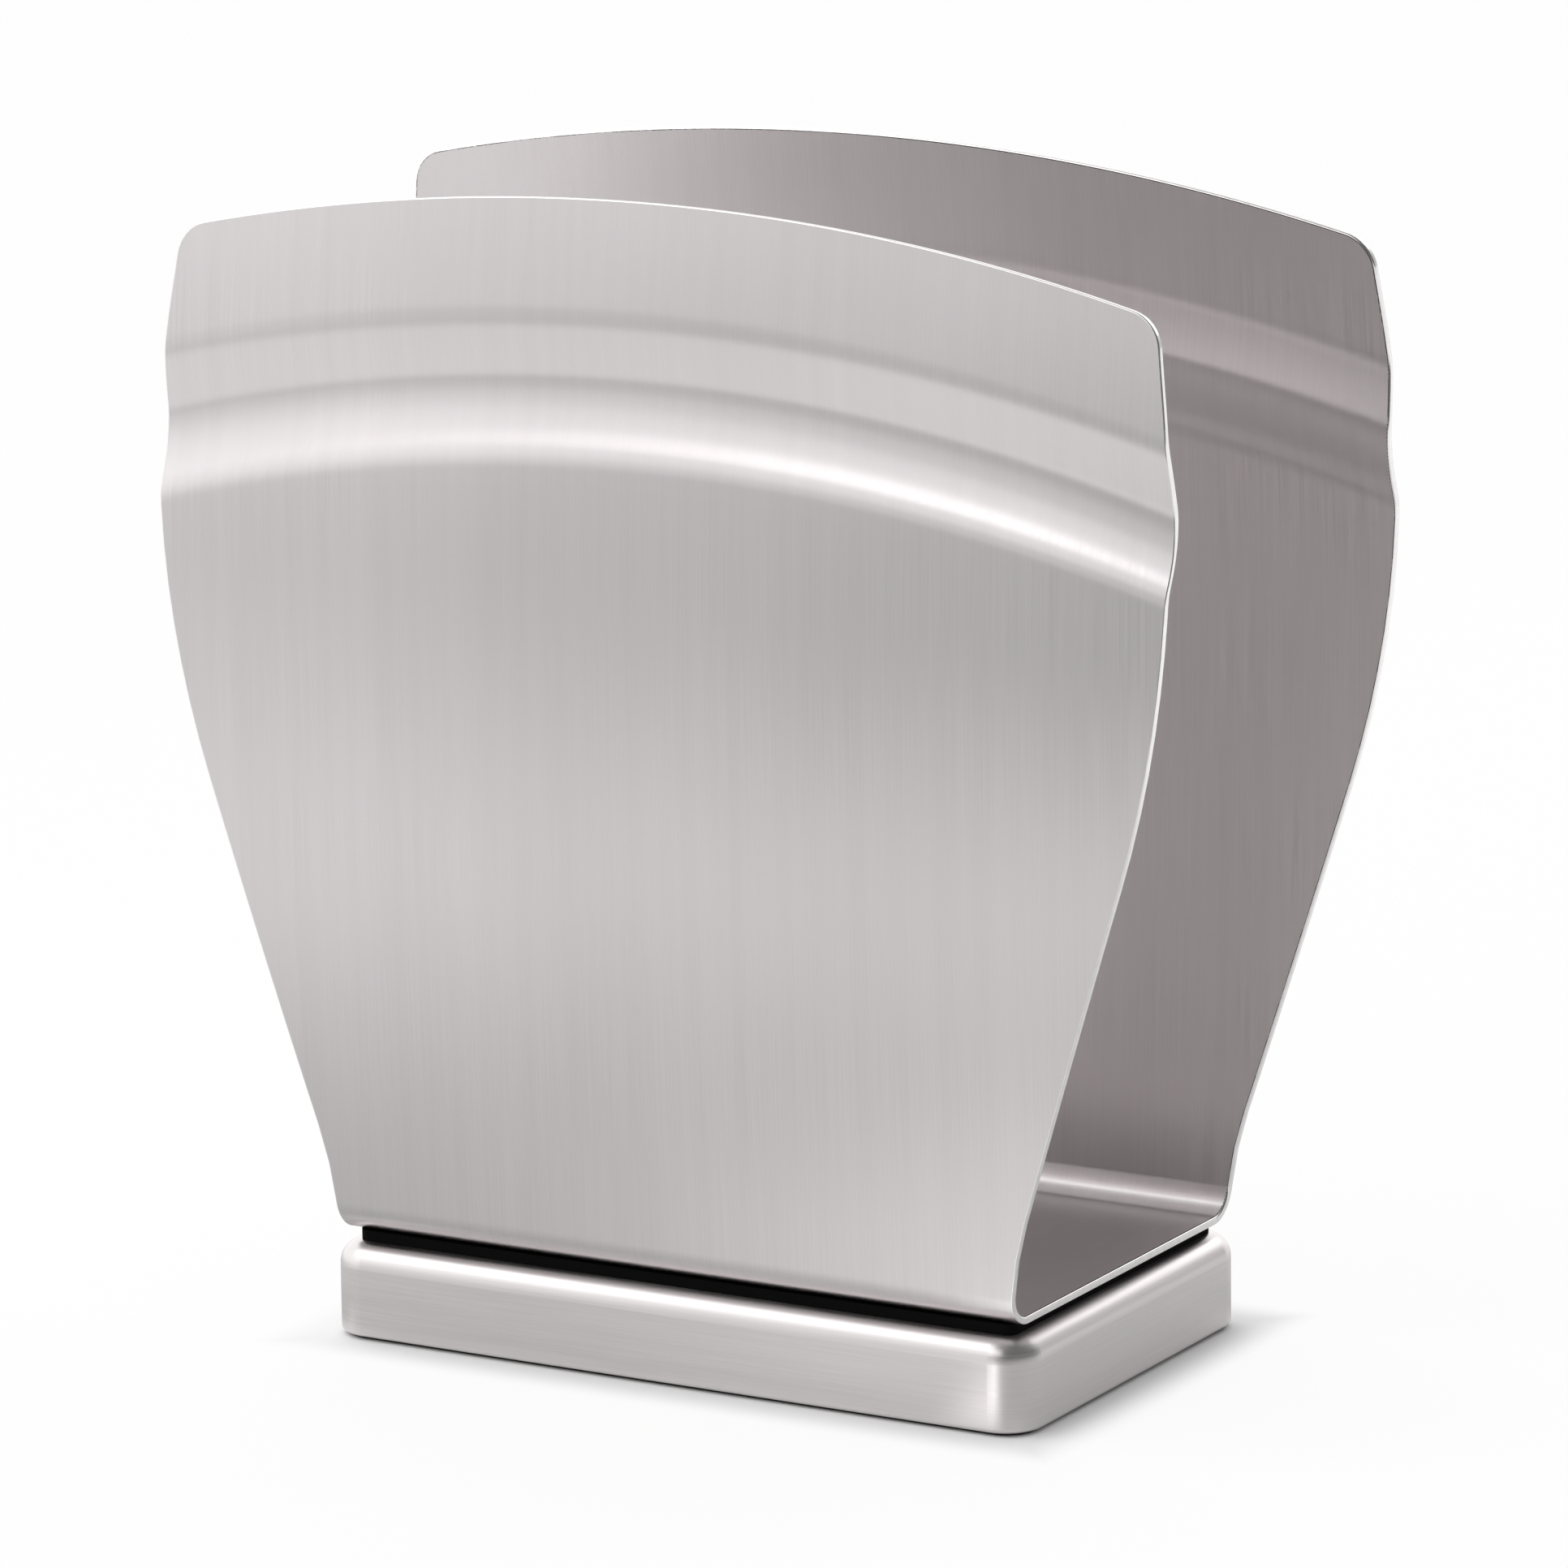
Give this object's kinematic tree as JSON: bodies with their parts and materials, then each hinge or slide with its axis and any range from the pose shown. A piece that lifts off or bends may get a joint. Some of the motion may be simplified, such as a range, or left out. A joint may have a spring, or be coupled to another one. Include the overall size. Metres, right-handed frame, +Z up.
{
  "type": "napkin holder",
  "caption": "Fan-shaped upright napkin holder: a brushed steel sheet bent into a U, with an arched groove in each panel, on a weighted steel base with a rubber pad.",
  "frame": {"origin": "centre of the base on the table, at the underside of the rubber pad", "axes": "+X along the width, to the right in the front view; +Y from the front panel to the rear panel; +Z up"},
  "size_m": [0.142, 0.063, 0.149],
  "materials": {
    "brushed_steel": "fine upright brushing, satin, bare",
    "base_steel": "fine level brushing, satin, with a bright rounded upper edge",
    "black_plastic": "matt black",
    "black_rubber": "matt black, fine grain",
    "cast_iron": "as cast, dark",
    "plated_steel": "zinc plated"
  },
  "bodies": {
    "root": {"cradle": "brushed_steel", "spacer": "black_plastic", "base_shell": "base_steel", "ballast_block": "cast_iron", "bottom_pad": "black_rubber", "weld_studs": "plated_steel", "flat_washers": "plated_steel", "spring_washers": "plated_steel", "hex_nuts": "plated_steel"}
  },
  "joints": []
}
